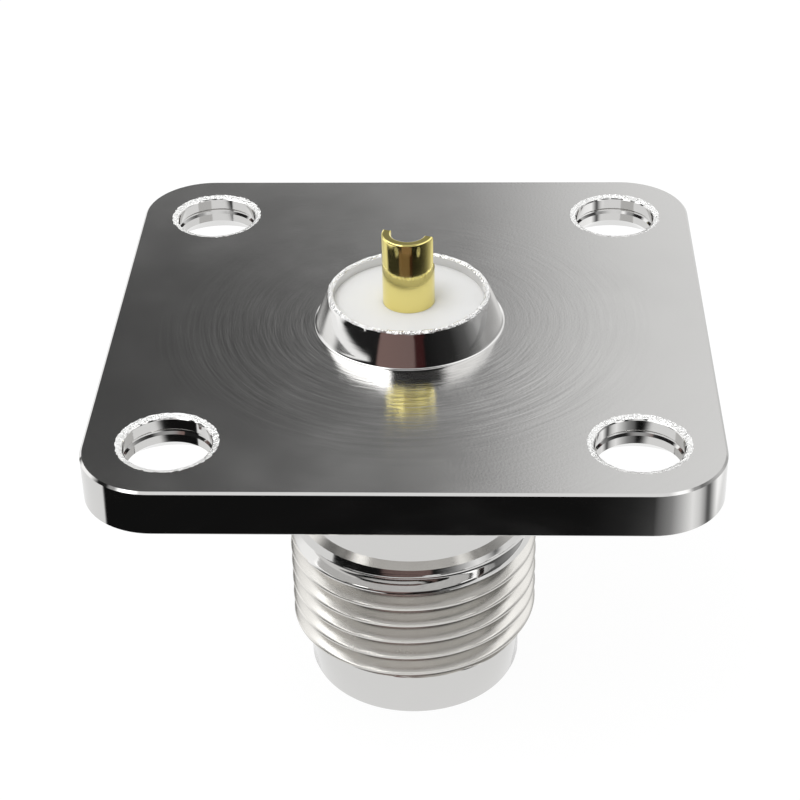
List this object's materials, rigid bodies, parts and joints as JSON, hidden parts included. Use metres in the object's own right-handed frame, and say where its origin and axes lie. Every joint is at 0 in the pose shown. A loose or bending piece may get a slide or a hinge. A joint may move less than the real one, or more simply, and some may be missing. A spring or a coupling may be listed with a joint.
{
  "type": "threaded coaxial panel jack",
  "caption": "Coaxial jack with a square screw flange, a threaded front barrel, a PTFE insulator and a gold contact that ends in a half-open solder cup.",
  "frame": {"origin": "centre of the front rim, on which the part stands", "axes": "+Z along the coaxial axis, from the mating front to the solder cup; X and Y parallel to the flange's sides"},
  "size_m": [0.025, 0.025, 0.0221],
  "materials": {
    "nickel_plate": "polished",
    "ptfe": "satin",
    "gold_plate": "polished"
  },
  "bodies": {
    "root": {"body": "nickel_plate", "insulator": "ptfe", "center_contact": "gold_plate"}
  },
  "joints": []
}
